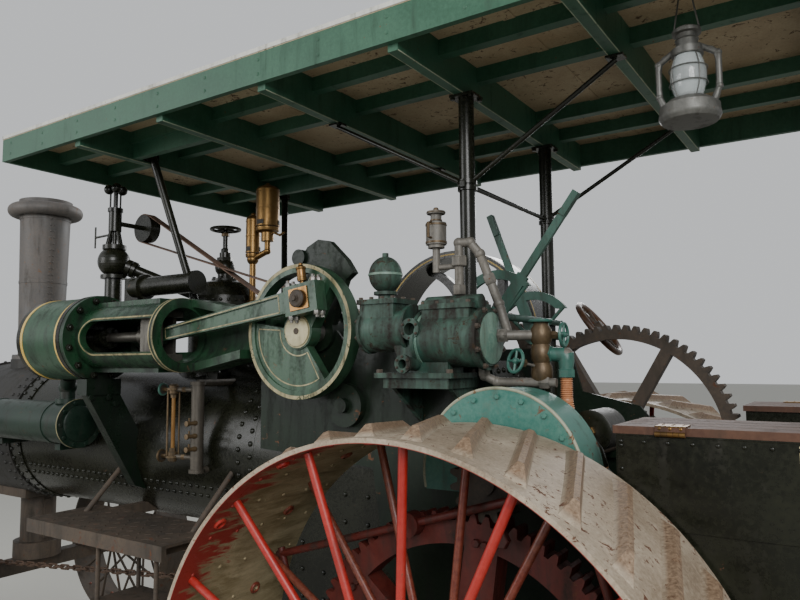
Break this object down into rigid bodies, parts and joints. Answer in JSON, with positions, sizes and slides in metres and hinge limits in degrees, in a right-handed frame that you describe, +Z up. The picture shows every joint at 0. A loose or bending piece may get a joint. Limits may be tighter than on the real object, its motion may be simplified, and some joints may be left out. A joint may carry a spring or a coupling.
{
  "type": "steam traction engine",
  "caption": "Full-size steam traction engine with an open side-mounted engine, boiler, lugged rear wheels, spoked front wheels, flywheel, fuel bunkers and a boarded canopy.",
  "frame": {"origin": "on the ground under the middle of the whole machine", "axes": "+X to the machine's front, +Y to its left, +Z up"},
  "size_m": [5.988, 2.6, 3.09],
  "materials": {
    "black_paint": "satin",
    "soot_black": "matte",
    "green_paint": "satin",
    "dark_green_paint": "satin",
    "teal_paint": "worn",
    "red_paint": "worn",
    "dark_red_paint": "worn",
    "worn_tread_steel": "rusty",
    "dark_iron": "rough",
    "machined_steel": "oiled",
    "bronze": "worn",
    "brass": "polished",
    "copper_hose": "worn",
    "belt_leather": "dry",
    "galvanised_steel": "dull",
    "roof_boards": "bare",
    "lid_boards": "varnished",
    "grey_iron": "rough"
  },
  "bodies": {
    "frame": {"boiler": "black_paint", "smokebox": "soot_black", "smokestack": "soot_black", "front_pedestal": "dark_iron", "steering_gear": "dark_iron", "steering_chains": "dark_iron", "rear_axle": "dark_iron", "drive_gears": "dark_iron", "countershaft": "dark_iron", "gear_guard": "teal_paint", "side_brackets": "dark_green_paint", "engine_frame": "green_paint", "steam_cylinder": "black_paint", "cylinder_lagging": "green_paint", "governor": "black_paint", "governor_belt": "belt_leather", "steam_dome": "black_paint", "whistle": "brass", "feedwater_heater": "dark_green_paint", "gauge_glasses": "bronze", "steam_pump": "teal_paint", "pump_pipes": "grey_iron", "lubricator": "grey_iron", "control_levers": "teal_paint", "hoses": "copper_hose", "canopy_roof": "roof_boards", "canopy_frame": "dark_green_paint", "canopy_posts": "black_paint", "platform": "dark_iron", "bunkers": "black_paint", "step_plate": "dark_iron", "lantern": "galvanised_steel"},
    "smokebox_door": {"smokebox_door": "soot_black"},
    "fire_door": {"fire_door": "dark_iron"},
    "front_axle": {"front_axle": "dark_iron"},
    "front_wheel_left": {"front_wheel_left": "dark_iron"},
    "front_wheel_right": {"front_wheel_right": "dark_iron"},
    "rear_wheel_left": {"rear_rim_left": "worn_tread_steel", "rear_spokes_left": "red_paint", "bull_gear_left": "dark_red_paint"},
    "rear_wheel_right": {"rear_rim_right": "worn_tread_steel", "rear_spokes_right": "red_paint", "bull_gear_right": "dark_red_paint"},
    "bull_pinion_left": {"bull_pinion_left": "dark_iron"},
    "bull_pinion_right": {"bull_pinion_right": "dark_iron"},
    "crank": {"crankshaft": "machined_steel", "crank_disc": "green_paint", "flywheel": "black_paint"},
    "valve_rod": {"valve_rod": "dark_green_paint"},
    "crosshead": {"crosshead": "machined_steel"},
    "connecting_rod": {"connecting_rod": "green_paint", "crank_brasses": "bronze"},
    "bunker_lid_left": {"bunker_lid_left": "lid_boards"},
    "bunker_lid_right": {"bunker_lid_right": "lid_boards"}
  },
  "joints": [
    {"name": "rear_wheel_left", "type": "hinge", "parent": "frame", "child": "rear_wheel_left", "pos_m": [-1.361, 0, 0.868], "axis": [0, 1, 0], "continuous": true},
    {"name": "rear_wheel_right", "type": "hinge", "parent": "frame", "child": "rear_wheel_right", "pos_m": [-1.361, 0, 0.868], "axis": [0, 1, 0], "continuous": true},
    {"name": "bull_pinion_left", "type": "hinge", "parent": "frame", "child": "bull_pinion_left", "pos_m": [-1.4388, 0.808, 1.5404], "axis": [0, 1, 0], "continuous": true},
    {"name": "bull_pinion_right", "type": "hinge", "parent": "frame", "child": "bull_pinion_right", "pos_m": [-1.4388, -0.808, 1.5404], "axis": [0, 1, 0], "continuous": true},
    {"name": "front_axle_steer", "type": "hinge", "parent": "frame", "child": "front_axle", "pos_m": [2.439, 0, 0.555], "axis": [0, 0, 1], "range_deg": [-25, 25]},
    {"name": "front_wheel_left", "type": "hinge", "parent": "front_axle", "child": "front_wheel_left", "pos_m": [2.439, 0.725, 0.555], "axis": [0, 1, 0], "continuous": true},
    {"name": "front_wheel_right", "type": "hinge", "parent": "front_axle", "child": "front_wheel_right", "pos_m": [2.439, -0.725, 0.555], "axis": [0, 1, 0], "continuous": true},
    {"name": "crankshaft", "type": "hinge", "parent": "frame", "child": "crank", "pos_m": [-0.471, 0, 2.028], "axis": [0, 1, 0], "continuous": true},
    {"name": "valve_rod", "type": "hinge", "parent": "crank", "child": "valve_rod", "pos_m": [-0.441, 0.352, 2.028], "axis": [0, 1, 0], "continuous": true},
    {"name": "crosshead_slide", "type": "slide", "parent": "frame", "child": "crosshead", "axis": [1, 0, 0], "range_m": [-0.0615, 0.2283]},
    {"name": "connecting_rod", "type": "hinge", "parent": "crosshead", "child": "connecting_rod", "pos_m": [0.3356, 0.645, 2.028], "axis": [0, 1, 0], "range_deg": [-17.4, 1.35]},
    {"name": "bunker_lid_left", "type": "hinge", "parent": "frame", "child": "bunker_lid_left", "pos_m": [-2.291, 0.744, 1.698], "axis": [-1, 0, 0], "range_deg": [0, 95]},
    {"name": "bunker_lid_right", "type": "hinge", "parent": "frame", "child": "bunker_lid_right", "pos_m": [-2.383, -0.744, 1.698], "axis": [1, 0, 0], "range_deg": [0, 95]},
    {"name": "smokebox_door", "type": "hinge", "parent": "frame", "child": "smokebox_door", "pos_m": [2.854, -0.375, 1.473], "axis": [0, 0, 1], "range_deg": [-100, 0]},
    {"name": "fire_door", "type": "hinge", "parent": "frame", "child": "fire_door", "pos_m": [-1.133, 0.215, 1.32], "axis": [0, 0, 1], "range_deg": [-100, 0]}
  ],
  "couplings": [
    {"joint": "bull_pinion_left", "follows": "rear_wheel_left", "ratio": -5.3333},
    {"joint": "bull_pinion_right", "follows": "rear_wheel_right", "ratio": -5.3333},
    {"joint": "valve_rod", "follows": "crankshaft", "ratio": -1}
  ]
}
